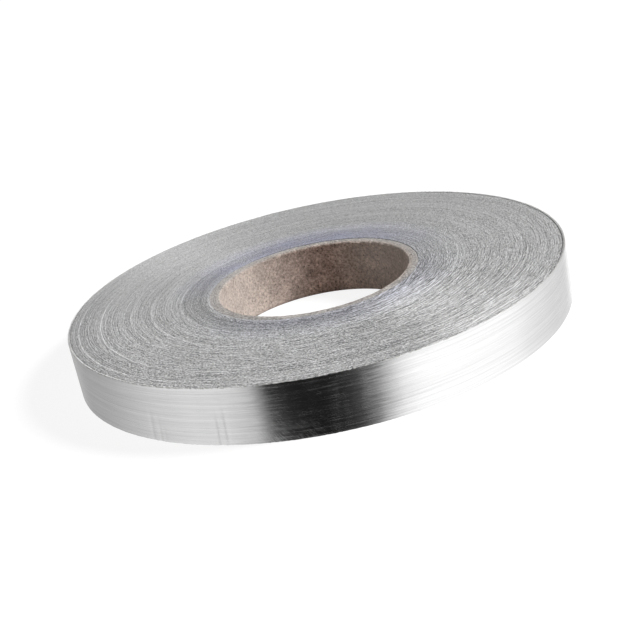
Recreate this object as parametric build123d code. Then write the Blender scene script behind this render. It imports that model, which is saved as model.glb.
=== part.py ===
from build123d import *
import math
import os

# A roll of narrow metal-foil tape, wound on a board core and lying flat on one side.
# Millimetres, +Z up. The origin is on the bore's axis, in the plane that the roll lies on.

# The tape. In every turn the paper liner is inside, the adhesive next and the foil outside.
tape_width = 9.525
liner_thickness = 0.085
adhesive_thickness = 0.030
foil_thickness = 0.035

# The core: board strips wound on a mandrel, each butting its own edges in a slanting seam.
bore_diameter = 33.7
core_length = tape_width
ply_thickness = 0.43
ply_names = ("core_inner_ply", "core_second_ply", "core_third_ply", "core_outer_ply")
bore_chamfer = 0.2
seam_gap = 0.15
seam_slant = 45
first_seam_azimuth = -80
seam_stagger = 97

# The winding. Turns that lie level make one run, and each run has wandered sideways a little.
run_turn_counts = (32, 37, 23, 34, 29, 12)
run_shifts = (0.00, 0.10, 0.04, 0.14, 0.00, 0.08)

# The tape outside the runs, which lies a little loose.
outer_turn_count = 1
outer_turn_shift = 0.05
outer_turn_gap = 0.03
tape_end_azimuth = 100

# The free end of the tape, which lifts off the roll and comes off its liner.
free_end_length = 25
fold_gap = 0.02
peel_gap = 0.01

# Worked out from the sizes above
bore_radius = bore_diameter / 2
core_radius = bore_radius + len(ply_names) * ply_thickness
turn_pitch = liner_thickness + adhesive_thickness + foil_thickness
packed_turns = sum(run_turn_counts)
liner_rise = outer_turn_gap
adhesive_rise = liner_rise + liner_thickness
foil_rise = adhesive_rise + adhesive_thickness
tape_rise = foil_rise + foil_thickness


def winding_arc(half, rise, start=0, end=180):
    """One half turn of the tape, as an arc that stands a rise outside the turn's inner face.

    Even half turns are centred on the bore's axis and odd ones half a pitch beside it. Each
    meets the next at a common tangent, and every full turn lies one pitch outside the last.
    """
    odd = half % 2
    radius = core_radius + half * turn_pitch / 2 + rise
    return CenterArc((odd * turn_pitch / 2, 0), radius, odd * 180 + start, end - start)


def winding_outline(turns):
    """The face that the winding covers after some turns, stepped where the next one starts."""
    near = winding_arc(2 * turns, 0)
    far = winding_arc(2 * turns + 1, 0)
    return make_face([near, far, Line(far @ 1, near @ 0)])


def layer_outline(halves, low, high, start=0, end=180):
    """One layer of the tape seen from its edge, from an angle in one half turn to an angle in
    the last: a spiral on each side and a straight cut across each end.
    """
    first, last = halves[0], halves[-1]
    sides = []
    for rise in (low, high):
        sides.append([
            winding_arc(half, rise, start if half == first else 0, end if half == last else 180)
            for half in halves
        ])
    inner, outer = sides
    cuts = [Line(inner[0] @ 0, outer[0] @ 0), Line(inner[-1] @ 1, outer[-1] @ 1)]
    return make_face(inner + outer + cuts)


def set_on_roll(outline, shift):
    """Tape of this outline, at full width, moved sideways and turned to where the tape ends."""
    return Pos(0, 0, shift) * Rot(0, 0, tape_end_azimuth) * extrude(outline, tape_width)


def core_ply(number):
    """One board strip rolled into a tube. Its butt seam is a slit that slants up the wall."""
    inner = bore_radius + number * ply_thickness
    outer = inner + ply_thickness
    tube = extrude(Circle(outer) - Circle(inner), core_length)
    if number == 0:
        rims = tube.edges().filter_by(GeomType.CIRCLE).filter_by(lambda e: e.radius < outer)
        tube = chamfer(rims, bore_chamfer)
    slit = Box(outer, seam_gap, 3 * core_length)
    slit = Pos(outer, 0, core_length / 2) * Rot(seam_slant, 0, 0) * slit
    azimuth = first_seam_azimuth + number * seam_stagger
    return Rot(0, 0, azimuth) * (tube - slit)


def wound_run(turns_before, turns, shift):
    """A run of turns that lie level, pressed into one ring between two spiral faces."""
    inside = Circle(core_radius) if turns_before == 0 else winding_outline(turns_before)
    return set_on_roll(winding_outline(turns_before + turns) - inside, shift)


def tape_layers():
    """Each layer's name, and the rises of its two faces in the outer tape."""
    return (
        ("liner", liner_rise, adhesive_rise),
        ("adhesive", adhesive_rise, foil_rise),
        ("foil", foil_rise, tape_rise),
    )


def outer_halves():
    """The half turns of the outer tape, whose layers are separate pieces."""
    first = 2 * packed_turns
    return range(first, first + 2 * outer_turn_count)


def free_end_radius():
    """The radius of the foil's outer face along the free end."""
    return core_radius + outer_halves()[-1] * turn_pitch / 2 + tape_rise


def fold_angle(length):
    """The angle that a length of the outermost foil takes up."""
    return math.degrees(length / free_end_radius())


def outer_turn(low, high):
    """One layer's strip round the outside of the roll, as far as the fold of the free end."""
    end = 180 - fold_angle(free_end_length + fold_gap)
    return set_on_roll(layer_outline(outer_halves(), low, high, end=end), outer_turn_shift)


def free_end(low, high):
    """One layer of the tape's free end, from the fold to the tip."""
    start = 180 - fold_angle(free_end_length)
    return set_on_roll(layer_outline(outer_halves()[-1:], low, high, start=start), outer_turn_shift)


def build():
    """Every piece of the roll, by name."""
    pieces = {name: core_ply(number) for number, name in enumerate(ply_names)}
    turns_before = 0
    for number, (turns, shift) in enumerate(zip(run_turn_counts, run_shifts), start=1):
        pieces[f"wound_turns_{number}"] = wound_run(turns_before, turns, shift)
        turns_before += turns
    for name, low, high in tape_layers():
        pieces[name + "_outer_turn"] = outer_turn(low, high)
        gap = peel_gap if name == "adhesive" else 0
        pieces[name + "_end"] = free_end(low + gap, high)
    return pieces


os.makedirs("parts", exist_ok=True)
for piece_name, piece in build().items():
    export_step(piece, f"parts/{piece_name}.step")
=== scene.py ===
"""A roll of silver-coloured foil tape on a board core: its looks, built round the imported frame."""

import math

import bpy
import numpy as np
from bpy.props import FloatProperty, FloatVectorProperty, IntProperty, PointerProperty
from mathutils import Matrix, Vector


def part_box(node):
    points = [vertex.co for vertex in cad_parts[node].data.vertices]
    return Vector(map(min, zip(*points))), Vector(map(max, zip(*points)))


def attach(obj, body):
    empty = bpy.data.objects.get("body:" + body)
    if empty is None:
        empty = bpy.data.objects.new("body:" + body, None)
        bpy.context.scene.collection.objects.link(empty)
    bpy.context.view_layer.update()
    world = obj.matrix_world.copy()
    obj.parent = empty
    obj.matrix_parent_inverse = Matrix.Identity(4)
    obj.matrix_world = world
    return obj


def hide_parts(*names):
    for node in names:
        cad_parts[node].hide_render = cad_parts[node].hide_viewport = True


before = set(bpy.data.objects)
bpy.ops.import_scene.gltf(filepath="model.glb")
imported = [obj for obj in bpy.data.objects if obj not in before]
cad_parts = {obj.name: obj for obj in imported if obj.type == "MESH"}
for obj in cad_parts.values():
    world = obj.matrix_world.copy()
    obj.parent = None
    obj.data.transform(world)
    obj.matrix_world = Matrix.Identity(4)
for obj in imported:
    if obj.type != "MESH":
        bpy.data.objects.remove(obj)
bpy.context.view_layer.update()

bl_info = {
    "name": "Foil tape roll",
    "version": (1, 0, 0),
    "blender": (4, 5, 0),
    "location": "3D View > Sidebar > Foil roll",
    "description": "Builds the wound turns, the outer tape, the core's finish and a plain stage",
    "category": "Object",
}

MM = 0.001
TOUCH = 1e-6  # coordinates in metres, and shares, that are nearer than this are the same
SMALL_ANGLE = 1e-4  # and so are angles in radians
RUNS = tuple(f"wound_turns_{number}" for number in range(1, 7))
RUN_TURN_COUNTS = (32, 37, 23, 34, 29, 12)
PLIES = ("core_inner_ply", "core_second_ply", "core_third_ply", "core_outer_ply")

# Azimuths, in degrees from +X, of what isn't even all round
HIGHLIGHT_FAN_AZIMUTH = -55  # the turns' bright streaks: a painted highlight where the lamp's fan falls
HIGHLIGHT_FAN_LAPS = 60  # how far from the core the painted highlight dies out
BURR_AZIMUTH = -85  # the coarsest slitting burr
RIM_AZIMUTH = -115  # the raggedest rim of the outer foil
PROUD_AZIMUTH = -160  # the liner standing proud of the outer foil
BLUE_AZIMUTHS = (92, -75)  # the cool tint next to the core, strong and weak
GRAIN_AZIMUTHS = (-70, -45)  # the deepest grain of the slit edges, partly painted glints beside the highlight fan, and the longest
SPOT_AZIMUTH = -100  # the most scuffed spot of the outer foil
SWAY_AZIMUTH = -15  # where the outer foil's fine lines lean the most
LIT_BORE_AZIMUTHS = (160, 24)  # the bore's greyer sides, with painted light; between them lies painted shade
BEIGE_AZIMUTH = 40  # the beige of the core's cut end
GAP_AZIMUTH = -100  # the studio's dark gap


# ------------ what the frame says

def node_points(name):
    """A CAD node's vertices at rest, as an array of points in metres."""
    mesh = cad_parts[name].data
    points = np.zeros(len(mesh.vertices) * 3)
    mesh.vertices.foreach_get("co", points)
    return points.reshape(-1, 3)


class Winding:
    """The spiral that the tape lies on, read from the first and last runs of turns.

    Its laps are made of half circles. The first half of a lap is centred on the bore's axis and
    the second half a pitch beside it, so that each full lap lies one pitch outside the last.
    """

    laps = sum(RUN_TURN_COUNTS)
    core_radius = np.hypot(*node_points(RUNS[0]).T[:2]).min()
    tip = max(node_points(RUNS[-1]), key=lambda point: math.hypot(point[0], point[1]))
    pitch = (math.hypot(tip[0], tip[1]) - core_radius) / (laps + 1)
    end_azimuth = math.atan2(tip[1], tip[0])

    @classmethod
    def points(cls, lap, share, rise, z):
        """Points on the spiral: in a lap counted from the core, at a share of its full angle,
        at a rise outside the lap's inner face and at a height.
        """
        angle = 2 * np.pi * share
        beside = np.where(share > 0.5, cls.pitch / 2, 0.0)
        radius = cls.core_radius + lap * cls.pitch + beside + rise
        x, y = beside + radius * np.cos(angle), radius * np.sin(angle)
        c, s = math.cos(cls.end_azimuth), math.sin(cls.end_azimuth)
        return np.stack([c * x - s * y, s * x + c * y, z + 0 * x], axis=-1)

    @classmethod
    def from_tip(cls, name):
        """A CAD node's vertices seen from the tape's end: angle from it and rise in the last lap.

        Vertices at the end's own angle are taken to lie before it.
        """
        x, y, _ = node_points(name).T
        c, s = math.cos(cls.end_azimuth), math.sin(cls.end_azimuth)
        x, y = c * x + s * y, c * y - s * x
        beside = np.where(y < TOUCH, cls.pitch / 2, 0.0)
        radius = np.hypot(x - beside, y)
        return np.arctan2(y, x - beside), radius - beside - cls.core_radius - cls.laps * cls.pitch


def wrapped(angle):
    """An angle brought to within half a turn of zero."""
    return (angle + np.pi) % (2 * np.pi) - np.pi


def facing(azimuth, degrees):
    """From 0 to 1: how near azimuths are to one in degrees, as the cosine between them."""
    return np.maximum(0, np.cos(azimuth - np.radians(degrees)))


# ------------ meshes from arrays

def quads(numbers):
    """Faces of a grid of vertex numbers: every square of four neighbours is one."""
    a, b = numbers[:-1, :-1], numbers[:-1, 1:]
    c, d = numbers[1:, 1:], numbers[1:, :-1]
    return np.stack([a, b, c, d], axis=-1).reshape(-1, 4)


def closed(numbers):
    """A grid whose last column is its first one again."""
    return np.concatenate([numbers, numbers[:, :1]], axis=1)


def new_piece(name, points, faces):
    """A mesh piece from arrays of points and quads, smooth but for its sharp edges."""
    mesh = bpy.data.meshes.new(name)
    mesh.vertices.add(len(points))
    mesh.vertices.foreach_set("co", points.astype(np.float32).ravel())
    mesh.loops.add(faces.size)
    mesh.loops.foreach_set("vertex_index", faces.astype(np.int32).ravel())
    mesh.polygons.add(len(faces))
    mesh.polygons.foreach_set("loop_start", np.arange(0, faces.size, 4, dtype=np.int32))
    mesh.update(calc_edges=True)
    mesh.polygons.foreach_set("use_smooth", np.ones(len(faces), bool))
    mesh.set_sharp_from_angle(angle=math.radians(60))
    piece = bpy.data.objects.new(name, mesh)
    bpy.context.scene.collection.objects.link(piece)
    return piece


def set_shine(piece, values):
    """Stores how much brighter or darker than its neighbours each vertex's place is: partly the turns' own
    tone, partly painted highlight and shadow.
    """
    shine = piece.data.attributes.new("shine", "FLOAT", "POINT")
    shine.data.foreach_set("value", values.astype(np.float32))


def settle(piece, material, body, slot, *nodes):
    """Gives a piece its material and its body, and hides the CAD nodes that it stands for. The slot is not
    used.
    """
    piece.data.materials.append(material)
    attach(piece, body)
    if nodes:
        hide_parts(*nodes)


def wander(rng, count, *lengths):
    """A smooth random line with a spread of one: white noise through a bell for each length."""
    total = np.zeros(count)
    for length in lengths:
        bell = np.hanning(2 * length + 1)[1:-1]
        smooth = np.convolve(rng.standard_normal(count), bell, mode="same")
        total += smooth / math.sqrt((bell**2).sum() * len(lengths))
    return total


# ------------ the wound turns

EDGE_LINES = np.array([0.0, 0.32, 0.6, 0.8])
LINE_LEVELS = np.array([-0.4, 0.15, -0.55, 0.55])
RING_SHINE = 0.3  # of the slow rings, and as much again as painted highlight in the fan
DASH_SHINE = 1.05  # of the dashes where the burr is coarsest
FAN_PAINTED_HIGHLIGHT = 2.3  # of the dashes of painted highlight in the fan next to the core
TURN_MARKS = (
    # lap, width in laps, azimuth and spread in degrees, height in mm, shine
    # next to the core; the first is a painted shadow line between core and tape, the second a painted
    # highlight on the lit inner wall of the first turns
    (0.4, 1.3, 62, 66, 0.0, -1.9),
    (1.6, 2.0, 215, 85, 0.0, 1.0),
    (9.0, 5.0, 324, 32, 0.0, -0.6),
    (12.0, 9.0, 150, 60, 0.0, -0.6),
    (12.5, 7.5, 242, 52, 0.0, -1.0),
    (21.0, 7.0, 274, 28, 0.0, -0.45),
    # the fan of streaks: painted highlight where the lamp glints on the turns
    (16.0, 0.7, 309, 13, 0.0, 2.8),
    (19.5, 0.8, 305, 19, 0.0, 3.4),
    (24.0, 0.8, 312, 14, 0.0, 3.2),
    (27.5, 0.6, 303, 15, 0.0, 2.8),
    (31.0, 0.9, 306, 17, 0.0, 3.2),
    (39.5, 0.8, 310, 15, 0.0, 2.6),
    (141.0, 0.8, 312, 13, 0.0, 1.8),
    (150.0, 0.8, 308, 13, 0.0, 1.8),
    (159.0, 0.8, 313, 13, 0.0, 2.0),
    # single turns
    (28.5, 2.6, 172, 38, 0.0, -0.5),
    (34.0, 0.7, 212, 45, 0.01, 1.5),
    (68.8, 0.6, 206, 34, 0.01, 1.9),
    (92.0, 0.6, 208, 36, 0.01, 1.9),
    (129.5, 0.6, 208, 36, 0.01, 3.2),
    (155.4, 0.6, 210, 42, 0.01, 3.2),
    (165.2, 0.6, 225, 60, 0.0, -1.2),
    (165.6, 0.6, 8, 44, -0.2, -1.4),
    (166.6, 0.45, 213, 50, 0.02, 2.6),
    # broad patches; those at 311 and 309 degrees are painted highlight in the fan, the one at 135 degrees
    # painted highlight of its fainter twin
    (29.0, 13.0, 311, 17, 0.0, 0.6),
    (30.0, 22.0, 130, 55, 0.0, -0.22),
    (58.0, 25.0, 228, 25, 0.0, 0.2),
    (66.0, 24.0, 284, 10, 0.0, -0.45),
    (120.0, 60.0, 284, 10, 0.0, -0.45),
    (152.0, 24.0, 309, 17, 0.0, 0.75),
    (158.0, 13.0, 180, 38, 0.0, -0.7),
    (168.0, 45.0, 135, 26, 0.0, 0.22),
)


def turn_marks(lap, azimuth):
    """Height and shine of the turns that stand out, and of the painted highlight and shadow among the marks:
    bells over the laps and over the azimuth.
    """
    height, shine = 0 * lap, 0 * lap
    for centre, width, middle, spread, lift, glow in TURN_MARKS:
        off = wrapped(azimuth - np.radians(middle)) / np.radians(spread)
        bell = np.exp(-(((lap - centre) / width) ** 2) - off**4)
        height, shine = height + lift * bell, shine + glow * bell
    return height, shine


def run_level(number, side):
    """Height of a run's face. Turns slide a little at a time, so it is stepped half as far from
    the outer turn as the run's box is.
    """
    outer, own = (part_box(name)[max(side, 0)].z for name in ("foil_outer_turn", RUNS[number]))
    return (outer + own) / 2


def sloped_ends(sizes, number, side, lap):
    """Height that lets a run which lies lower than its neighbours start and end as a slope."""
    first = sum(RUN_TURN_COUNTS[:number])
    height = 0 * lap
    for neighbour, border in ((number - 1, first), (number + 1, first + RUN_TURN_COUNTS[number])):
        if 0 <= neighbour < len(RUNS):
            step = side * (run_level(neighbour, side) - run_level(number, side)) / MM
            away = np.maximum(0, np.abs(lap - border - 0.5) - 0.5)
            height = height + max(0.0, step) * np.exp(-((away / sizes.slope_laps) ** 2))
    return height


def edge_profile(sizes, side, place):
    """Height over the run's plane, and shine, at places along the spiral counted in steps.

    One column stands for each line of the tape's edge: the paper's two edges, the sunken adhesive
    and the foil. Each line has its own level. To it are added a wander of the whole turn, the
    turns that stand out and a ragged slitting burr, which is coarser on the roll's front. Shine
    is slow rings, the turns that stand out, and short dashes, each against the turn inside it.
    In the fan, where the lamp's streaks fall, the rings and dashes are also a painted highlight,
    and some of the marks are painted highlight and shadow.
    The noise is drawn for the whole spiral, so that neighbouring runs agree where they meet.
    """
    steps = sizes.steps_per_turn
    rng = np.random.default_rng(side + 1)
    count = (Winding.laps + 2) * steps
    azimuth = 2 * np.pi * place / steps + Winding.end_azimuth
    coarse = 0.6 + 0.4 * np.cos(azimuth - np.radians(BURR_AZIMUTH))
    whole = wander(rng, count, steps // 3, steps // 14)[place]
    rings = wander(rng, count, steps // 4, steps // 18)[place]
    dashes = wander(rng, count, 1, 2, 3)
    dashes = 1.2 * dashes[place] - 0.6 * dashes[place - steps]
    burr = np.stack([wander(rng, count, 1, 3)[place] for _ in EDGE_LINES], axis=1)
    mark_height, mark_shine = turn_marks(place / steps, azimuth)
    level = sizes.edge_relief * LINE_LEVELS + (sizes.turn_wander * whole + mark_height)[:, None]
    height = (level + sizes.edge_burr * coarse[:, None] * burr) * MM
    # fan: painted highlight where the lamp's streaks fall, strongest next to the core
    fan, near_core = facing(azimuth, HIGHLIGHT_FAN_AZIMUTH) ** 4, np.exp(-place / steps / HIGHLIGHT_FAN_LAPS)
    shine = RING_SHINE * (1 + fan) * rings + mark_shine * (1 + 0.6 * coarse**2 * dashes)
    shine = shine + (DASH_SHINE * coarse**2 + FAN_PAINTED_HIGHLIGHT * fan * near_core) * dashes
    return height, shine[:, None] + 0 * height


def run_face(sizes, number, side):
    """One side of a run, as points, shine and a strip of vertex numbers that follows the spiral.

    Row i of the strip lies at the share i / steps of a lap. Its columns are the lines of the
    tape's edge, and the last column is the first line of the next lap.
    """
    steps, plane = sizes.steps_per_turn, run_level(number, side)
    first = sum(RUN_TURN_COUNTS[:number]) * steps
    rows = RUN_TURN_COUNTS[number] * steps + 1
    place = first + np.arange(rows + steps)
    height, shine = edge_profile(sizes, side, place)
    height = height + sloped_ends(sizes, number, side, place / steps)[:, None] * MM
    if side < 0:
        height = np.minimum(height, plane)
    lap, share = (place // steps)[:, None], (place % steps / steps)[:, None]
    grid = Winding.points(lap, share, EDGE_LINES * Winding.pitch, plane + side * height)
    points = np.concatenate([grid[:rows].reshape(-1, 3), grid[rows:, 0]])
    numbers = np.arange(rows * len(EDGE_LINES)).reshape(rows, -1)
    first_line = np.append(numbers[:, 0], np.arange(numbers.size, len(points)))
    strip = np.column_stack([numbers, first_line[steps:]])
    return points, np.append(shine[:rows].ravel(), shine[rows:, 0]), strip, first_line


def rims(strip, first_line, steps):
    """The closed loops of vertex numbers round the inside and the outside of a run's face."""
    inner = np.append(first_line[: steps + 1], strip[0, -2:0:-1])
    outer = np.append(first_line[-steps - 1 :], strip[-1, -2:0:-1])
    return inner, outer


def build_run(sizes, number):
    """A run of wound turns as one closed piece: two faces of tape edges, joined by walls along
    the loops round the inside and the outside, each with its one-pitch step.
    """
    steps = sizes.steps_per_turn
    top_points, top_shine, top, top_line = run_face(sizes, number, 1)
    bottom_points, bottom_shine, bottom, bottom_line = run_face(sizes, number, -1)
    bottom, bottom_line = bottom + len(top_points), bottom_line + len(top_points)
    top_inner, top_outer = rims(top, top_line, steps)
    bottom_inner, bottom_outer = rims(bottom, bottom_line, steps)
    faces = np.concatenate([
        quads(top),
        quads(bottom)[:, ::-1],
        quads(closed(np.stack([bottom_outer, top_outer]))),
        quads(closed(np.stack([top_inner, bottom_inner]))),
    ])
    piece = new_piece(f"turn_edges_{number + 1}", np.concatenate([top_points, bottom_points]), faces)
    set_shine(piece, np.append(top_shine, bottom_shine))
    return piece


# ------------ the board core

def seam_at(points, z):
    """Azimuth and width, as angles, of a ply's butt seam at a height on its outer face.

    The two lips of the seam are the closest neighbours among the vertices there, but for those
    that stand for one place.
    """
    radii = np.hypot(*points.T[:2])
    edge = points[(np.abs(points[:, 2] - z) < TOUCH) & (radii > radii.max() - TOUCH)]
    azimuth = np.unique(np.round(np.arctan2(edge[:, 1], edge[:, 0]), 5))
    gaps = np.diff(np.append(azimuth, azimuth[0] + 2 * np.pi))
    gaps[gaps < 10 * SMALL_ANGLE] = np.inf
    return azimuth[gaps.argmin()] + gaps.min() / 2, gaps.min()


def fuzz(rng, shape, reach):
    """White noise over a grid, smoothed over this many rows each way, with a spread of one."""
    white = rng.standard_normal(shape)
    near = sum(np.roll(white, shift, axis=0) for shift in range(-reach, reach + 1))
    return near / math.sqrt(2 * reach + 1)


def ply_section(inner, outer, low, high, chamfer, up, across=3):
    """Radii and heights round a ply's section, from the middle of its bottom end up the inner
    face to the middle of the top end, then down the outer face and back.
    """
    middle = (inner + chamfer + outer) / 2
    in_half = np.linspace(inner + chamfer, middle, across, endpoint=False)
    out_half = np.linspace(middle, outer, across + 1)[1:]
    wall = np.linspace(low + chamfer, high - chamfer, up)
    back = np.linspace(high, low, up + 2)[1:-1]
    radius = [in_half[::-1], np.full(up, inner), in_half, out_half, np.full(up, outer), out_half[::-1]]
    height = [np.full(across, low), wall, np.full(2 * across, high), back, np.full(across, low)]
    return np.concatenate(radius), np.concatenate(height)


def build_ply(sizes, number):
    """One ply of the core, slit by its slanting butt seam, with ends of torn fibres.

    The section is carried round from one lip of the seam to the other, and the seam's azimuth
    changes evenly with height. Smoothed noise lifts the top end and lets fibres lean into the
    bore, the more the nearer they are to its rim.
    """
    points = node_points(PLIES[number])
    low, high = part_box(PLIES[number])
    radii = np.hypot(*points.T[:2])
    inner, outer = radii.min(), radii.max()
    chamfer = max(points[radii < inner + TOUCH, 2].min() - low.z, sizes.ply_edge * MM)
    up = sizes.bore_steps if number == 0 else 4
    radius, z = ply_section(inner, outer, low.z, high.z, chamfer, up)
    (bottom_seam, gap), (top_seam, _) = seam_at(points, low.z), seam_at(points, high.z)
    share = (z - low.z) / (high.z - low.z)
    around = np.linspace(0, 1, sizes.ply_steps)[:, None]
    azimuth = bottom_seam + wrapped(top_seam - bottom_seam) * share + gap / 2 + around * (2 * np.pi - gap)
    rng = np.random.default_rng(50 + number)
    length = sizes.fibre_length * MM
    tuft = np.abs(0.6 * fuzz(rng, azimuth.shape, 1) + 0.6 * fuzz(rng, azimuth.shape, 6)) * length
    inside, lip_depth, skin = radius < inner + 0.1 * MM, 0.35 * MM, 0.01 * MM
    lip = np.exp(-(((high.z - z) / lip_depth) ** 2)) * inside
    wall, edge = (0.25, 1.2) if number == 0 else (0.0, 0.3)
    radius = radius - tuft * (wall * inside + edge * lip)
    top = (share > 1 - TOUCH) * (radius <= outer - skin)
    z = z + 0.15 * fuzz(rng, azimuth.shape, 3) * length * top
    points = np.stack([radius * np.cos(azimuth), radius * np.sin(azimuth), z], axis=-1)
    numbers = np.arange(azimuth.size).reshape(azimuth.shape)
    half = numbers.shape[1] // 2
    start, finish = (np.stack([ring[:half], ring[: half - 1 : -1]]) for ring in (numbers[0], numbers[-1]))
    faces = np.concatenate([quads(closed(numbers)), quads(start)[:, ::-1], quads(finish)])
    return new_piece(f"board_ply_{number + 1}", points.reshape(-1, 3), faces)


# ------------ the outer tape

CREASES = (
    # azimuth and lean in degrees, width and depth in mm, lowest and highest share of the tape's width
    (-132.6, 1.6, 0.34, 0.038, 0.0, 0.62),
    (-130.4, 1.4, 0.34, 0.046, 0.0, 0.50),
    (-129.2, 1.2, 0.30, 0.030, 0.0, 0.42),
    (-115.6, 0.9, 0.30, 0.070, 0.0, 0.66),
    (-113.9, 0.8, 0.28, 0.045, 0.1, 0.70),
    (-91.0, 1.5, 0.40, 0.012, 0.0, 1.0),
)


def tape_form(sizes, azimuth, across):
    """How far the wound tape stands off its place, in mm, for azimuths and shares of its width.

    Slow waves run along it and lean over its width, dying out towards the fold of the free end,
    and creases press it in as narrow leaning bells, which fade out up and down the width.
    """
    radius = Winding.core_radius / MM + (Winding.laps + 1) * Winding.pitch / MM
    waves = np.cos(9 * azimuth + 2.1 * across) + np.cos(23 * azimuth - 1.3 * across + 1.0)
    fold = Winding.end_azimuth + Winding.from_tip("foil_end")[0].min()
    calm = np.exp(-((wrapped(azimuth - fold) * radius / sizes.calm_length) ** 2))
    form = sizes.tape_wave * (2 + waves) / 4 * (1 - calm)
    for middle, lean, width, depth, low, high in CREASES:
        off = wrapped(azimuth - np.radians(middle + lean * across))
        fade = np.clip((across - low) / 0.12 + 1, 0, 1) * np.clip((high - across) / 0.25, 0, 1)
        form = form - depth * fade * np.exp(-((off * radius / width) ** 2))
    return form


def build_strip(sizes, name, start, end, columns):
    """One layer of the outer tape between two places along the spiral, given in laps.

    The section, up the layer's outer face and down its inner one, is carried along the spiral.
    Noise makes its edges ragged, the upper one more, and the liner's stands proud on one side.
    """
    low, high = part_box(name)
    turn = name.replace("_end", "_outer_turn")
    angle, rises = Winding.from_tip(name)
    if name == turn:
        rises = rises[angle > SMALL_ANGLE]
    rows = max(2, round((end - start) * sizes.strip_steps)) + 1
    place = np.linspace(start, end, rows)[:, None]
    lap = np.minimum(np.floor(place), Winding.laps)
    across = (1 - np.cos(np.linspace(0, np.pi, columns))) / 2
    across = np.append(across, across[::-1])
    azimuth = 2 * np.pi * place + Winding.end_azimuth
    rng = np.random.default_rng(len(name))
    ragged = np.stack([wander(rng, rows, 1, 2) for _ in (0, 1)], axis=1) * sizes.rim_burr * MM
    ragged = ragged * (0.3, 0.8) * (0.2 + 0.8 * facing(azimuth, RIM_AZIMUTH) ** 2)
    if turn.startswith("liner"):
        proud = facing(azimuth, PROUD_AZIMUTH) ** 4
        ragged = ragged + proud * (0, sizes.rim_burr * MM) + 1.5 * proud * np.abs(ragged)
    z = low.z + (high.z - low.z) * across
    z = z + ragged[:, :1] * (across < TOUCH) + ragged[:, 1:] * (across > 1 - TOUCH)
    z = np.maximum(z, 0.0)
    rise = np.repeat([rises.max(), rises.min()], columns) + tape_form(sizes, azimuth, across) * MM
    points = Winding.points(lap, place - lap, rise, z).reshape(-1, 3)
    numbers = np.arange(rows * 2 * columns).reshape(rows, -1)
    outer, inner = numbers[:, :columns], numbers[:, : columns - 1 : -1]
    caps = [quads(np.stack([outer[0], inner[0]])), quads(np.stack([inner[-1], outer[-1]]))]
    kind = "wrap" if name == turn else "tail"
    faces = np.concatenate([quads(closed(numbers))[:, ::-1]] + caps)
    return new_piece(f"{name.split('_')[0]}_{kind}", points, faces)


# ------------ shader steps

def node(tree, kind, inputs=(), **settings):
    """Adds a shader node. Its inputs are joined to sockets or set to plain values."""
    made = tree.nodes.new(kind)
    for key, value in settings.items():
        setattr(made, key, value)
    for key, value in dict(inputs).items():
        if isinstance(value, bpy.types.NodeSocket):
            tree.links.new(value, made.inputs[key])
        else:
            made.inputs[key].default_value = value
    return made


def arithmetic(tree, operation, a, b=0.0, c=0.0, clamp=False):
    """The result of one sum on numbers or sockets."""
    return node(tree, "ShaderNodeMath", {0: a, 1: b, 2: c}, operation=operation, use_clamp=clamp).outputs[0]


def times(tree, a, b):
    """The product of two numbers or sockets."""
    return arithmetic(tree, "MULTIPLY", a, b)


def noise(tree, vector, scale=1.0, detail=2.0, roughness=0.5):
    """Smooth noise from 0 to 1 at a place."""
    made = node(tree, "ShaderNodeTexNoise", {
        "Vector": vector, "Scale": scale, "Detail": detail, "Roughness": roughness})
    return made.outputs["Fac"]


def stretch(tree, value, low, high, to_low=0.0, to_high=1.0):
    """A value's range from low to high, carried to another range and held inside it."""
    made = node(tree, "ShaderNodeMapRange", {
        "Value": value, "From Min": low, "From Max": high, "To Min": to_low, "To Max": to_high})
    return made.outputs["Result"]


def vector_step(tree, operation, *vectors, **numbers):
    """The result of one step on vectors, which is a number for a length or a dot product."""
    made = node(tree, "ShaderNodeVectorMath", {**dict(enumerate(vectors)), **numbers}, operation=operation)
    return made.outputs["Value" if operation in ("LENGTH", "DOT_PRODUCT") else "Vector"]


def blend_colours(tree, share, first, second):
    """Two colours mixed by a share."""
    return node(tree, "ShaderNodeMix", {0: share, 6: first, 7: second}, data_type="RGBA").outputs[2]


def grey(value):
    """A neutral colour."""
    return (value, value, value, 1.0)


def object_place(tree):
    """Each place on a piece, in metres."""
    return node(tree, "ShaderNodeTexCoord").outputs["Object"]


def height_of_place(tree):
    """Each place's height over the foot of the roll."""
    return node(tree, "ShaderNodeSeparateXYZ", {0: object_place(tree)}).outputs[2]


def level_place(tree):
    """Each place brought down to the foot of the roll."""
    return vector_step(tree, "MULTIPLY", object_place(tree), (1, 1, 0))


def from_axis(tree):
    """Each place's distance from the bore's axis."""
    return vector_step(tree, "LENGTH", level_place(tree))


def place_along_tape(tree, along, across):
    """A place for noise whose grain follows the tape: along and across are grains per mm.

    x and y are scaled by the one, and the distance from the axis plus the height by the other,
    which keeps the pattern the same on the roll's flat sides and its outer face.
    """
    line = times(tree, arithmetic(tree, "ADD", from_axis(tree), height_of_place(tree)), across / MM)
    lifted = node(tree, "ShaderNodeCombineXYZ", {2: line}).outputs[0]
    return vector_step(tree, "ADD", vector_step(tree, "SCALE", level_place(tree), Scale=along / MM), lifted)


def tape_direction(tree):
    """The direction that the tape runs in at each place: the upright axis crossed with it."""
    along = vector_step(tree, "CROSS_PRODUCT", (0, 0, 1), object_place(tree))
    turned = node(tree, "ShaderNodeVectorTransform", {0: along},
                  vector_type="VECTOR", convert_from="OBJECT", convert_to="WORLD")
    return vector_step(tree, "NORMALIZE", turned.outputs[0])


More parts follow.
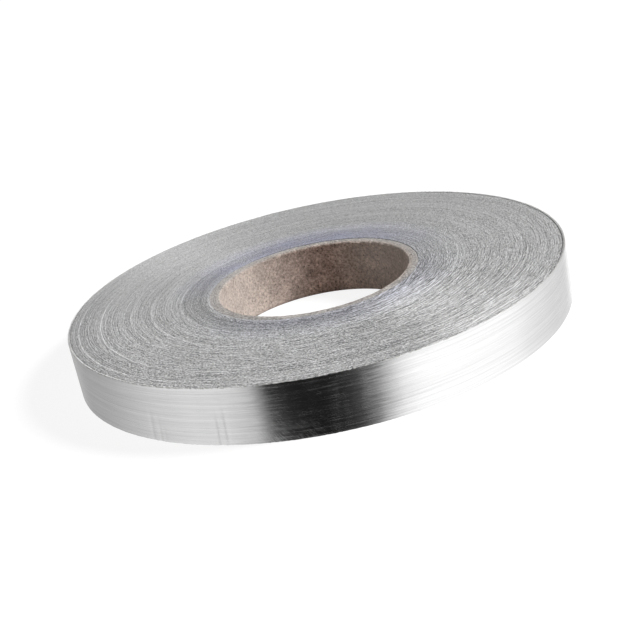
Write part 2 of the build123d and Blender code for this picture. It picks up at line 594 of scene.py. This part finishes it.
def towards(tree, azimuth):
    """From -1 to 1: how near a place's azimuth is to this one, as the cosine between them."""
    outwards = vector_step(tree, "NORMALIZE", level_place(tree))
    a = math.radians(azimuth)
    return vector_step(tree, "DOT_PRODUCT", outwards, (math.cos(a), math.sin(a), 0))


def new_material(name, **values):
    """A material with one Principled shader and these plain values on its own sockets."""
    material = bpy.data.materials.new(name)
    material.use_nodes = True
    shader = material.node_tree.nodes["Principled BSDF"]
    for key, value in values.items():
        shader.inputs[key.replace("_", " ")].default_value = value
    return material, material.node_tree, shader


def join(tree, shader, **sockets):
    """Links sockets to the Principled shader's inputs."""
    for key, socket in sockets.items():
        tree.links.new(socket, shader.inputs[key.replace("_", " ")])


def bumped(tree, height, distance):
    """A normal tilted by a height, which is a distance in mm at 1."""
    inputs = {"Height": height, "Distance": distance * MM, "Strength": 1.0}
    return node(tree, "ShaderNodeBump", inputs).outputs["Normal"]


def swayed(tree, normal, direction, amount):
    """A normal leant along a direction by a small amount."""
    lean = vector_step(tree, "SCALE", direction, Scale=amount)
    return vector_step(tree, "NORMALIZE", vector_step(tree, "ADD", normal, lean))


def scaled(tree, colour, amount):
    """A colour, plain or from a socket, made brighter or darker by a factor."""
    colour = colour if isinstance(colour, bpy.types.NodeSocket) else tuple(colour)[:3]
    return vector_step(tree, "SCALE", colour, Scale=amount)


# ------------ materials

def scuffs(tree, looks):
    """Fine slanting scratches in patches, from 0 to 1, on the tape's outer face."""
    flat = node(tree, "ShaderNodeSeparateXYZ", {0: object_place(tree)}).outputs
    round_way = arithmetic(tree, "ARCTAN2", flat[0], times(tree, flat[1], -1.0))
    radius = Winding.core_radius + Winding.laps * Winding.pitch
    unrolled = node(tree, "ShaderNodeCombineXYZ", {
        0: times(tree, round_way, radius), 1: flat[2]}).outputs[0]
    turned = node(tree, "ShaderNodeMapping", {
        "Vector": unrolled, "Rotation": (0, 0, looks.scuff_lean), "Scale": (2.4 * MM, 0.08 * MM, 1.0)},
        vector_type="TEXTURE")
    scratch = stretch(tree, noise(tree, turned.outputs[0], detail=1.0), 0.52, 0.75)
    patch = stretch(tree, noise(tree, unrolled, 0.16 / MM, detail=1.0), 0.54, 0.72, 0.0, 0.45)
    spot = stretch(tree, towards(tree, SPOT_AZIMUTH), 0.986, 0.997)
    spot = times(tree, spot, stretch(tree, flat[2], 1.0 * MM, 4.5 * MM, 1.0, 0.0))
    return times(tree, scratch, arithmetic(tree, "MAXIMUM", patch, spot))


def rolled_foil(looks):
    """Bright rolled metal with fine lines along its length, scuffed here and there."""
    material, tree, shader = new_material(
        "rolled_foil", Metallic=1.0, Anisotropic=0.6, Anisotropic_Rotation=0.25)
    lines = noise(tree, place_along_tape(tree, 0.04, 5.0), detail=4.0, roughness=0.8)
    broad = noise(tree, place_along_tape(tree, 0.03, 1.3))
    dashes = noise(tree, place_along_tape(tree, 0.25, 8.0), roughness=0.7)
    scuffed = scuffs(tree, looks)
    factor = stretch(tree, lines, 0.25, 0.75, 0.82, 1.11)
    factor = times(tree, factor, stretch(tree, broad, 0.3, 0.7, 0.96, 1.03))
    factor = arithmetic(tree, "MULTIPLY_ADD", scuffed, -0.08, factor)
    sway = stretch(tree, dashes, 0.2, 0.8, -looks.foil_sway, looks.foil_sway)
    sway = arithmetic(tree, "ADD", sway, stretch(tree, lines, 0.2, 0.8, -looks.foil_sway, looks.foil_sway))
    sway = times(tree, sway, stretch(tree, towards(tree, SWAY_AZIMUTH), 0.05, 0.35, 0.3, 1.0))
    matt = stretch(tree, dashes, 0.3, 0.75, 0.8 * looks.foil_roughness, 2.3 * looks.foil_roughness)
    bands = noise(tree, place_along_tape(tree, 0.3, 0.04), detail=1.0)
    matt = arithmetic(tree, "ADD", matt, stretch(tree, bands, 0.44, 0.6, 0.0, 0.05))
    matt = arithmetic(tree, "MULTIPLY_ADD", scuffed, 0.26, matt)
    hairs = noise(tree, place_along_tape(tree, 0.1, 6.0), detail=3.0, roughness=0.8)
    matt = arithmetic(tree, "MULTIPLY_ADD", stretch(tree, hairs, 0.45, 0.75), 0.17, matt)
    along = tape_direction(tree)
    normal = swayed(tree, bumped(tree, lines, 0.0015), along, sway)
    join(tree, shader, Base_Color=scaled(tree, looks.foil_colour, factor), Roughness=matt,
         Tangent=along, Normal=normal)
    return material


def cool_tint(tree, colour, blue):
    """A colour made cooler in places near the core: at the back and, less, at the front."""
    core = Winding.core_radius
    near = stretch(tree, from_axis(tree), core + 2 * MM, core + 9 * MM, 1.0, 0.0)
    strong, weak = (arithmetic(tree, "MAXIMUM", towards(tree, azimuth), 0.0) for azimuth in BLUE_AZIMUTHS)
    patch = stretch(tree, noise(tree, object_place(tree), 0.25 / MM), 0.3, 0.7, 0.7, 1.3)
    share = times(tree, arithmetic(tree, "MULTIPLY_ADD", weak, 0.45, strong), near)
    share = arithmetic(tree, "MULTIPLY", share, patch, clamp=True)
    cool = (colour[0] * (1 - 0.5 * blue), colour[1] * (1 - 0.4 * blue), colour[2] * (1 + blue), 1.0)
    return blend_colours(tree, share, tuple(colour), cool)


def slit_edges(looks, name, colour):
    """The slit edges of wound foil and paper: grey, streaked along the tape, with bright burrs.

    Each turn's own shine, painted highlight and shadow among it, comes with the mesh. The grain is
    coarser on the roll's front, where the slitting burr is, and its contrast is deepest beside the
    lamp's highlight fan, partly as painted glints.
    """
    material, tree, shader = new_material(
        name, Metallic=0.09, Roughness=looks.edge_roughness, Anisotropic=0.75, Anisotropic_Rotation=0.25)
    # grain contrast by azimuth: partly the grain itself, partly painted glints beside the lamp's highlight
    # fan
    deep, long = (towards(tree, azimuth) for azimuth in GRAIN_AZIMUTHS)
    front = stretch(tree, deep, -0.6, 0.3, 0.55, 1.25)
    burrs, threads = (
        noise(tree, place_along_tape(tree, along, across), roughness=0.8)
        for along, across in ((3.2, 12.0), (0.8, 12.0)))
    grain = blend_colours(tree, stretch(tree, long, 0.55, 0.95, 0.0, 0.2), burrs, threads)
    rings = noise(tree, place_along_tape(tree, 0.04, 2.0), detail=4.0, roughness=0.7)
    shine = node(tree, "ShaderNodeAttribute", attribute_name="shine").outputs["Fac"]
    centred = times(tree, stretch(tree, grain, 0.27, 0.73, -1.0, 1.0), front)
    factor = stretch(tree, rings, 0.25, 0.75, 0.94, 1.06)
    factor = arithmetic(tree, "MULTIPLY_ADD", centred, looks.edge_contrast, factor)
    factor = arithmetic(tree, "MULTIPLY_ADD", shine, 0.3, factor)
    factor = arithmetic(tree, "MINIMUM", arithmetic(tree, "MAXIMUM", factor, 0.12), 2.2)
    along = tape_direction(tree)
    sway = times(tree, centred, looks.edge_sway)
    hairs = noise(tree, place_along_tape(tree, 0.2, 5.0), roughness=0.8)
    normal = swayed(tree, bumped(tree, hairs, looks.hair_bump), along, sway)
    tone = cool_tint(tree, colour, looks.edge_blue)
    join(tree, shader, Base_Color=scaled(tree, tone, factor), Tangent=along, Normal=normal)
    return material


def core_board(looks):
    """Grey-brown recycled board: darker fibres and specks, greyer where it is cut at the ends. On the bore's
    wall, painted light makes it paler and greyer on its lit sides, and painted shade makes it browner and
    darker between them.
    """
    material, tree, shader = new_material("core_board", Roughness=0.95)
    place, core = object_place(tree), Winding.core_radius
    fibres = noise(tree, place, 2.3 / MM, detail=4.0, roughness=0.75)
    clouds = noise(tree, place, 0.3 / MM, detail=3.0, roughness=0.6)
    flecks = noise(tree, place, 2.4 / MM, detail=1.0)
    factor = stretch(tree, fibres, 0.25, 0.75, 0.5, 1.5)
    factor = times(tree, factor, stretch(tree, clouds, 0.3, 0.7, 0.86, 1.14))
    factor = times(tree, factor, stretch(tree, flecks, 0.24, 0.34, 0.5, 1.0))
    low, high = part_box(PLIES[0])
    middle, half = (low.z + high.z) / 2, (high.z - low.z) / 2
    off = arithmetic(tree, "ABSOLUTE", arithmetic(tree, "SUBTRACT", height_of_place(tree), middle))
    cut = stretch(tree, off, half - 0.2 * MM, half - 0.02 * MM)
    # painted light and shade on the bore's wall: plain board on its lit sides, darker browner board between
    # them
    left, right = (towards(tree, azimuth) for azimuth in LIT_BORE_AZIMUTHS)
    right = stretch(tree, right, 0.6, 0.97, 0.0, 0.9)
    pale = arithmetic(tree, "MAXIMUM", stretch(tree, left, 0.3, 0.95), right)
    lit_and_shaded_wall = blend_colours(tree, pale, looks.shaded_board_colour, looks.board_colour)
    inner = stretch(tree, from_axis(tree), core - 1.7 * MM, core - 0.5 * MM, 1.0, 0.1)
    beige = times(tree, inner, stretch(tree, towards(tree, BEIGE_AZIMUTH), -0.3, 0.5, 0.35, 1.0))
    end = blend_colours(tree, beige, looks.cut_board_colour, looks.board_colour)
    tone = blend_colours(tree, cut, lit_and_shaded_wall, end)
    # painted shade: the fibres grow darker on the bore's shaded side
    shade_darkening = arithmetic(tree, "MULTIPLY_ADD", pale, arithmetic(tree, "SUBTRACT", 1.0, factor), factor)
    factor = times(tree, factor, shade_darkening)
    join(tree, shader, Base_Color=scaled(tree, tone, factor), Normal=bumped(tree, fibres, 0.1))
    return material


def release_paper(looks):
    """Smooth off-white liner paper with a faint fibre."""
    material, tree, shader = new_material("release_paper", Roughness=0.45)
    factor = stretch(tree, noise(tree, object_place(tree), 1.5 / MM, detail=4.0), 0.3, 0.7, 0.94, 1.05)
    join(tree, shader, Base_Color=scaled(tree, looks.paper_colour, factor))
    return material


def tacky_film(looks):
    """The adhesive: a glossy film, faintly clouded, that the foil shows through."""
    material, tree, shader = new_material("tacky_film", Roughness=0.18, Metallic=0.35)
    clouds = noise(tree, object_place(tree), 0.8 / MM, detail=3.0)
    factor = stretch(tree, clouds, 0.3, 0.7, 0.9, 1.08)
    join(tree, shader, Base_Color=scaled(tree, looks.film_colour, factor), Normal=bumped(tree, clouds, 0.01))
    return material


# ------------ settings

class RollSizes(bpy.types.PropertyGroup):
    """Sizes of the roll's fine detail."""

    steps_per_turn: IntProperty(
        name="Steps per turn", description="Mesh steps round one wound turn", default=320, min=24)
    strip_steps: IntProperty(
        name="Strip steps", description="Mesh steps round the outer tape", default=1440, min=48)
    edge_relief: FloatProperty(
        name="Edge relief", description="Depth of the lines on the tape's edge, in mm", default=0.009)
    turn_wander: FloatProperty(
        name="Turn wander", description="How far single turns stand up or sink, in mm", default=0.007)
    edge_burr: FloatProperty(
        name="Edge burr", description="Height of the ragged slitting burr, in mm", default=0.003)
    ply_steps: IntProperty(
        name="Ply steps", description="Mesh steps round a ply of the core", default=720, min=48)
    ply_edge: FloatProperty(
        name="Ply edge", description="How far the edges of the plies are worn off, in mm", default=0.03)
    bore_steps: IntProperty(
        name="Bore steps", description="Mesh steps up the bore's wall", default=24, min=4)
    fibre_length: FloatProperty(
        name="Fibre length", description="Length of the board's torn fibres, in mm", default=0.11)
    slope_laps: FloatProperty(
        name="Slope laps", description="Turns over which a run slopes down from a higher one", default=10)
    rim_burr: FloatProperty(
        name="Rim burr", description="Height of the burr along the outer tape's edges, in mm", default=0.085)
    tape_wave: FloatProperty(
        name="Tape wave", description="Height of the slow waves in the outer turn, in mm", default=0.03)
    calm_length: FloatProperty(
        name="Calm length", description="Length beside the fold without waves, in mm", default=2)


COLOUR = {"subtype": "COLOR", "size": 4, "min": 0, "max": 1}


class RollLooks(bpy.types.PropertyGroup):
    """Colours and finishes of the roll."""

    foil_colour: FloatVectorProperty(
        name="Foil", description="Colour of the rolled metal", default=(0.90, 0.90, 0.90, 1.0), **COLOUR)
    foil_roughness: FloatProperty(
        name="Foil roughness", description="How matt the rolled metal is", default=0.085, min=0, max=1)
    foil_sway: FloatProperty(
        name="Foil sway", description="How far the foil's fine lines lean along it", default=0.022)
    edge_roughness: FloatProperty(
        name="Edge roughness", description="How matt the slit edges are", default=0.64, min=0, max=1)
    edge_contrast: FloatProperty(
        name="Edge contrast", description="Contrast of the slit edges' grain", default=1.87)
    hair_bump: FloatProperty(
        name="Hair bump", description="Depth of the hair lines on the slit edges, in mm", default=0.014)
    edge_sway: FloatProperty(
        name="Edge sway", description="How far the slit edges' grain leans along the tape", default=0.02)
    edge_blue: FloatProperty(
        name="Edge blue", description="Strength of the cool tint near the core", default=0.15)
    scuff_lean: FloatProperty(
        name="Scuff lean", description="Direction of the scratches on the foil",
        default=math.radians(-55), subtype="ANGLE")
    edge_colour: FloatVectorProperty(
        name="Wound edges", description="Colour of the slit edges", default=(0.44, 0.44, 0.44, 1.0), **COLOUR)
    inner_edge_colour: FloatVectorProperty(
        name="Inner wound edges", description="Colour of the slit edges next to the core",
        default=(0.375, 0.375, 0.375, 1.0), **COLOUR)
    board_colour: FloatVectorProperty(
        name="Board", description="Colour of the core's board", default=(0.47, 0.40, 0.355, 1.0), **COLOUR)
    # painted shade: the colour of the bore's wall where it lies in shade
    shaded_board_colour: FloatVectorProperty(
        name="Kraft", description="Colour of the board's browner side",
        default=(0.355, 0.255, 0.21, 1.0), **COLOUR)
    cut_board_colour: FloatVectorProperty(
        name="Cut board", description="Colour of the board's cut ends",
        default=(0.42, 0.40, 0.385, 1.0), **COLOUR)
    paper_colour: FloatVectorProperty(
        name="Paper", description="Colour of the release paper", default=(0.79, 0.79, 0.78, 1.0), **COLOUR)
    film_colour: FloatVectorProperty(
        name="Adhesive", description="Colour of the adhesive film", default=(0.68, 0.67, 0.63, 1.0), **COLOUR)


class StudioSettings(bpy.types.PropertyGroup):
    """The camera's place and the light's strength."""

    lens: FloatProperty(name="Lens", description="Focal length in mm", default=78.9)
    distance: FloatProperty(
        name="Distance", description="Camera to the roll's top, in outer radii", default=5.604)
    elevation: FloatProperty(
        name="Elevation", description="The camera's height over the horizon",
        default=math.radians(21.009), subtype="ANGLE")
    roll: FloatProperty(
        name="Roll", description="How far the camera is tilted sideways",
        default=math.radians(-12.25), subtype="ANGLE")
    aside: FloatProperty(name="Aside", description="Camera's shift to its left, in radii", default=0.0103)
    drop: FloatProperty(name="Drop", description="Camera's shift downwards, in radii", default=0.1755)
    key_strength: FloatProperty(
        name="Key light", description="Light on a surface that faces the key lamp", default=1.1)
    key_azimuth: FloatProperty(
        name="Key azimuth", description="Compass direction of the key lamp",
        default=math.radians(-6), subtype="ANGLE")
    key_elevation: FloatProperty(
        name="Key elevation", description="Height of the key lamp over the horizon",
        default=math.radians(38), subtype="ANGLE")
    key_size: FloatProperty(
        name="Key size", description="Angle that the key lamp fills",
        default=math.radians(18), subtype="ANGLE")
    sky_strength: FloatProperty(
        name="Sky", description="Even light from all round", default=0.24)
    overhead: FloatProperty(
        name="Overhead", description="Brightness that mirrors see above the horizon", default=0.55)


# ------------ operators

class ROLL_OT_wound_turns(bpy.types.Operator):
    """Build the runs of wound turns, whose edges make the roll's flat sides"""

    bl_idname = "roll.wound_turns"
    bl_label = "Wound turns"

    def execute(self, context):
        looks = context.scene.roll_looks
        outer = slit_edges(looks, "slit_edges", looks.edge_colour[:])
        inner = slit_edges(looks, "slit_edges_near_core", looks.inner_edge_colour[:])
        for number, name in enumerate(RUNS):
            piece = build_run(context.scene.roll_sizes, number)
            material, slot = (inner, "wound_edges_blued") if number == 0 else (outer, "wound_edges")
            settle(piece, material, "roll", slot, name)
        return {"FINISHED"}


class ROLL_OT_outer_tape(bpy.types.Operator):
    """Build the three layers of the outermost turn and of the tape's free end"""

    bl_idname = "roll.outer_tape"
    bl_label = "Outer tape"

    def execute(self, context):
        sizes, looks = context.scene.roll_sizes, context.scene.roll_looks
        finish = {
            "liner": (release_paper(looks), "liner_paper", 3, "liner_end"),
            "adhesive": (tacky_film(looks), "adhesive", 3, "foil_end"),
            "foil": (rolled_foil(looks), "foil", 25, "foil_end"),
        }
        last = Winding.laps + 1
        for layer, (material, slot, columns, end_body) in finish.items():
            turn, end = f"{layer}_outer_turn", f"{layer}_end"
            turn_angle, end_angle = (Winding.from_tip(name)[0] for name in (turn, end))
            turn_end = last + turn_angle[turn_angle < -SMALL_ANGLE].max() / (2 * np.pi)
            wrap = build_strip(sizes, turn, Winding.laps, turn_end, columns)
            settle(wrap, material, "roll", slot, turn)
            tail = build_strip(sizes, end, last + end_angle.min() / (2 * np.pi), last, columns)
            settle(tail, material, end_body, slot, end)
        return {"FINISHED"}


class ROLL_OT_core(bpy.types.Operator):
    """Build the four plies of the board core, with their torn fibres"""

    bl_idname = "roll.core"
    bl_label = "Board core"

    def execute(self, context):
        board = core_board(context.scene.roll_looks)
        for number, name in enumerate(PLIES):
            settle(build_ply(context.scene.roll_sizes, number), board, "roll", "core_board", name)
        return {"FINISHED"}


STUDIO_RAMP = (
    # compass direction in degrees, and how bright a mirror finds the studio there
    (-180, 0.65), (-168, 0.73), (-156, 0.78), (-144, 0.77), (-132, 0.66), (-126.4, 0.53),
    (-123.8, 0.12), (-121, 0.03), (-108, 0.012), (-96, 0.01), (-90, 0.016), (-83.3, 0.03),
    (-76.8, 0.08), (-70.6, 0.25), (-64.8, 0.7), (-60, 1.06), (-48, 1.2), (-30, 1.16),
    (-12, 1.12), (0, 1.05), (12, 0.89), (24, 0.8), (36, 0.74), (52, 0.69), (63, 1.04),
    (74, 1.04), (90, 0.55), (126, 0.4), (144, 0.43), (156, 0.48), (168, 0.56), (180, 0.65),
)


def studio_world(sky_strength, overhead):
    """Even light for matt surfaces, and for mirrors a pale studio with one dark gap.

    The brightness that a mirror sees below the horizon depends on the compass direction, through
    a ramp, and above the horizon it is even. The gap is narrower lower down, because there the
    directions beside it are drawn towards it.
    """
    world = bpy.data.worlds.new("studio")
    world.use_nodes = True
    tree = world.node_tree
    tree.nodes.clear()
    rays = node(tree, "ShaderNodeLightPath").outputs
    sky = node(tree, "ShaderNodeTexCoord").outputs["Generated"]
    way = node(tree, "ShaderNodeSeparateXYZ", {0: sky}).outputs
    compass = arithmetic(tree, "ARCTAN2", way[1], way[0])
    turn = arithmetic(tree, "MULTIPLY_ADD", compass, 1 / (2 * math.pi), 0.5)
    gap, reach, lean = 0.5 + GAP_AZIMUTH / 360, 0.1, 0.2
    beside = stretch(tree, turn, gap - reach, gap + reach, -0.05, 0.08)
    lower = stretch(tree, way[2], -0.345, -0.425, -lean, lean)
    share = arithmetic(tree, "MULTIPLY_ADD", beside, lower, turn)
    ramp = node(tree, "ShaderNodeValToRGB", {0: share})
    for index, (degrees, value) in enumerate(STUDIO_RAMP):
        place = degrees / 360 + 0.5
        stop = ramp.color_ramp.elements[index] if index < 2 else ramp.color_ramp.elements.new(place)
        stop.position = place
        stop.color = grey(value)
    matt = node(tree, "ShaderNodeBackground", {"Color": grey(1.0), "Strength": sky_strength}).outputs[0]
    above = stretch(tree, way[2], 0.0, 0.15)
    reflected = blend_colours(tree, above, ramp.outputs[0], grey(overhead))
    mirror = node(tree, "ShaderNodeBackground", {"Color": reflected}).outputs[0]
    white = node(tree, "ShaderNodeBackground", {"Color": grey(1.0)}).outputs[0]
    seen = node(tree, "ShaderNodeMixShader", {0: rays["Is Glossy Ray"], 1: matt, 2: mirror}).outputs[0]
    seen = node(tree, "ShaderNodeMixShader", {0: rays["Is Camera Ray"], 1: seen, 2: white}).outputs[0]
    node(tree, "ShaderNodeOutputWorld", {0: seen})
    return world


def white_floor():
    """A floor that is white to a camera but for the roll's soft shadow, and that mirrors miss.

    To a camera it glows almost white by itself and takes only the rest from the light.
    """
    reach = 3.0
    corners = reach * np.array([[-1, -1, 0], [1, -1, 0], [1, 1, 0], [-1, 1, 0]])
    floor = new_piece("floor", corners, np.array([[0, 1, 2, 3]]))
    material = bpy.data.materials.new("floor")
    material.use_nodes = True
    tree = material.node_tree
    tree.nodes.clear()
    rays = node(tree, "ShaderNodeLightPath").outputs
    matt = node(tree, "ShaderNodeBsdfDiffuse", {"Color": grey(0.8)}).outputs[0]
    shade = node(tree, "ShaderNodeBsdfDiffuse", {"Color": grey(0.22)}).outputs[0]
    glow = node(tree, "ShaderNodeEmission", {"Strength": 0.86}).outputs[0]
    pale = node(tree, "ShaderNodeAddShader", {0: glow, 1: shade}).outputs[0]
    seen = arithmetic(tree, "ADD", rays["Is Camera Ray"], rays["Is Transmission Ray"], clamp=True)
    mixed = node(tree, "ShaderNodeMixShader", {0: seen, 1: matt, 2: pale}).outputs[0]
    node(tree, "ShaderNodeOutputMaterial", {0: mixed})
    floor.data.materials.append(material)
    floor.visible_glossy = False


def key_lamp(studio):
    """A broad soft lamp far to the right, as bright on a facing surface as its strength says."""
    lamp = bpy.data.lights.new("key", "SUN")
    lamp.angle = studio.key_size
    lamp.energy = studio.key_strength * math.pi
    lamp_object = bpy.data.objects.new("key", lamp)
    level = math.cos(studio.key_elevation)
    away = Vector((
        math.cos(studio.key_azimuth) * level, math.sin(studio.key_azimuth) * level,
        math.sin(studio.key_elevation)))
    lamp_object.location = away
    lamp_object.rotation_euler = away.to_track_quat("Z", "Y").to_euler()
    bpy.context.scene.collection.objects.link(lamp_object)


def set_camera(studio, aim, radius):
    """The camera: back from the aim along its line of sight, shifted across it, then rolled."""
    e, r = studio.elevation, studio.roll
    ahead = Vector((0, math.cos(e), -math.sin(e)))
    right = Vector((1, 0, 0))
    down = ahead.cross(right)
    place = aim - ahead * studio.distance * radius
    place += (down * studio.drop - right * studio.aside) * radius
    tilted_right = right * math.cos(r) - down * math.sin(r)
    tilted_down = right * math.sin(r) + down * math.cos(r)
    camera = bpy.data.objects.new("camera", bpy.data.cameras.new("camera"))
    axes = Matrix((tilted_right, -tilted_down, -ahead)).transposed()
    camera.matrix_world = Matrix.Translation(place) @ axes.to_4x4()
    camera.data.sensor_width = 36
    camera.data.lens = studio.lens
    camera.data.clip_start = 0.01
    bpy.context.scene.collection.objects.link(camera)
    bpy.context.scene.camera = camera


class ROLL_OT_stage(bpy.types.Operator):
    """Set up the floor, the light and the camera"""

    bl_idname = "roll.stage"
    bl_label = "Stage"

    def execute(self, context):
        studio = context.scene.roll_studio
        rim_low, rim_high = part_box("foil_outer_turn")
        aim = Vector((0, 0, rim_high.z))
        radius = (rim_high.x - rim_low.x) / 2
        white_floor()
        context.scene.world = studio_world(studio.sky_strength, studio.overhead)
        key_lamp(studio)
        set_camera(studio, aim, radius)
        context.scene.view_settings.view_transform = "Standard"
        return {"FINISHED"}


class ROLL_PT_panel(bpy.types.Panel):
    """Shows a button for each of the roll's building steps"""

    bl_label = "Foil roll"
    bl_space_type = "VIEW_3D"
    bl_region_type = "UI"
    bl_category = "Foil roll"

    def draw(self, context):
        for operator in OPERATORS:
            self.layout.operator(operator.bl_idname)


OPERATORS = (ROLL_OT_wound_turns, ROLL_OT_outer_tape, ROLL_OT_core, ROLL_OT_stage)
CLASSES = (RollSizes, RollLooks, StudioSettings) + OPERATORS + (ROLL_PT_panel,)


def register():
    """Adds the settings, the operators and the panel."""
    for made in CLASSES:
        bpy.utils.register_class(made)
    bpy.types.Scene.roll_sizes = PointerProperty(type=RollSizes)
    bpy.types.Scene.roll_looks = PointerProperty(type=RollLooks)
    bpy.types.Scene.roll_studio = PointerProperty(type=StudioSettings)


def unregister():
    """Takes them away again."""
    for name in ("roll_studio", "roll_looks", "roll_sizes"):
        delattr(bpy.types.Scene, name)
    for made in reversed(CLASSES):
        bpy.utils.unregister_class(made)


def main():
    """Builds every piece and the stage."""
    register()
    bpy.ops.roll.wound_turns()
    bpy.ops.roll.outer_tape()
    bpy.ops.roll.core()
    bpy.ops.roll.stage()


if __name__ == "__main__":
    main()
